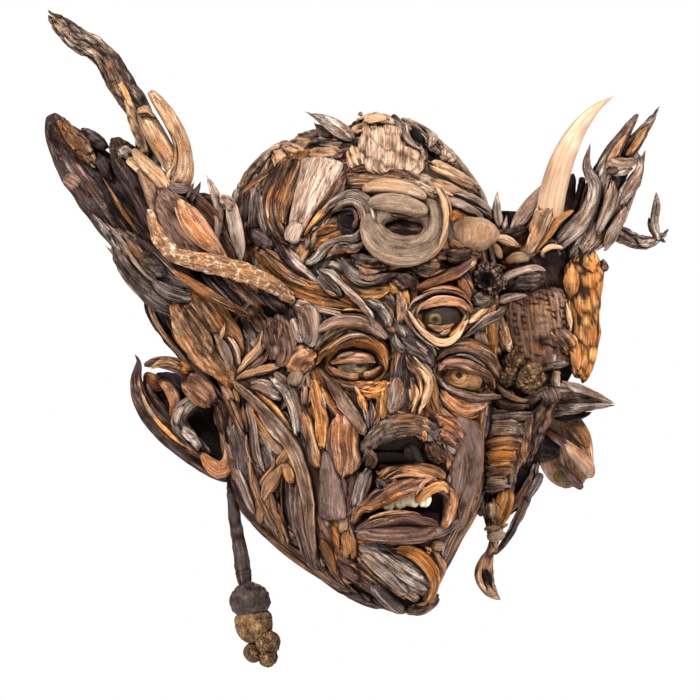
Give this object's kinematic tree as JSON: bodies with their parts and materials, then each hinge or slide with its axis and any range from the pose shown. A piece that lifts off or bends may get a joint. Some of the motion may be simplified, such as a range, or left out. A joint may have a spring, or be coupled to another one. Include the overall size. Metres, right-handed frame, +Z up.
{
  "type": "wall-hung wood face sculpture",
  "caption": "Three-eyed wall face built up from driftwood, bark, roots, a tine and seed pods, with a flat back.",
  "frame": {"origin": "on the flat back, where it rests on the wall, level with the face's eyes", "axes": "+Y into the wall, the face looks towards -Y, +Z up, +X to the right of someone facing it"},
  "size_m": [0.4056, 0.1681, 0.4265],
  "materials": {
    "grey_driftwood": "weathered split driftwood, dry and fibrous",
    "brown_strip": "split brown wood strips, open grain",
    "orange_heartwood": "orange-brown heartwood, dry",
    "dark_weathered": "dark weathered wood, rough",
    "smooth_tan": "water-smoothed root and branch wood",
    "smooth_stone_grey": "smooth grey knot wood",
    "antler_ivory": "smooth pale tine, slight sheen",
    "rough_bark": "rough furrowed bark",
    "checkered_bark": "brown bark cracked into small squares",
    "lichen_bark": "twig bark with orange and white lichen",
    "lip_wood": "smooth red-brown wood, slight sheen",
    "nut_brown": "dark nut shell",
    "seed_cap": "scaly seed cap and gall",
    "tooth_pebble": "smooth cream teeth",
    "eye_wood": "smooth rounded wood with end grain"
  },
  "bodies": {
    "root": {"head_form": "brown_strip", "eyeball_left": "eye_wood", "eyeball_right": "eye_wood", "eyeball_middle": "eye_wood", "lids_left": "orange_heartwood", "lids_right": "lip_wood", "lids_middle": "smooth_stone_grey", "brow_left": "smooth_tan", "brow_right": "brown_strip", "nose_bridge": "dark_weathered", "nose_cap": "rough_bark", "upper_lip": "lip_wood", "teeth": "tooth_pebble", "lower_lip": "lip_wood", "chin_slab": "grey_driftwood", "cheek_slab_right": "smooth_tan", "knobbed_stick": "smooth_tan", "crown_plate": "rough_bark", "crown_bark_right": "rough_bark", "crown_bark_left": "rough_bark", "grey_wedge": "grey_driftwood", "curl_knot": "dark_weathered", "hollow_knot": "smooth_stone_grey", "sandy_ovoid": "smooth_stone_grey", "orange_band": "orange_heartwood", "rough_knob": "rough_bark", "pronged_root": "smooth_tan", "tall_branch": "rough_bark", "lichen_twig": "lichen_bark", "cupped_shard": "dark_weathered", "beak_wood": "dark_weathered", "rear_shard": "dark_weathered", "layered_slab": "grey_driftwood", "fan_slab": "brown_strip", "back_slab": "dark_weathered", "ear_rim_left": "brown_strip", "ear_top_left": "dark_weathered", "ear_bowl_left": "dark_weathered", "ear_curl_left": "grey_driftwood", "pendant_stick": "rough_bark", "nut_ball": "nut_brown", "acorn_cap": "seed_cap", "gall_cluster": "seed_cap", "antler_tine": "antler_ivory", "tine_bark": "checkered_bark", "driftwood_prongs": "grey_driftwood", "grey_root": "grey_driftwood", "side_twig": "grey_driftwood", "checkered_plate": "checkered_bark", "orange_slab": "orange_heartwood", "side_backing": "dark_weathered", "seed_lumps": "seed_cap", "pointed_shard": "grey_driftwood", "bark_column": "rough_bark", "column_knot": "rough_bark", "ear_slab_right": "smooth_tan", "ear_root_right": "dark_weathered", "hanging_stick": "grey_driftwood", "right_pendant": "smooth_tan"}
  },
  "joints": []
}
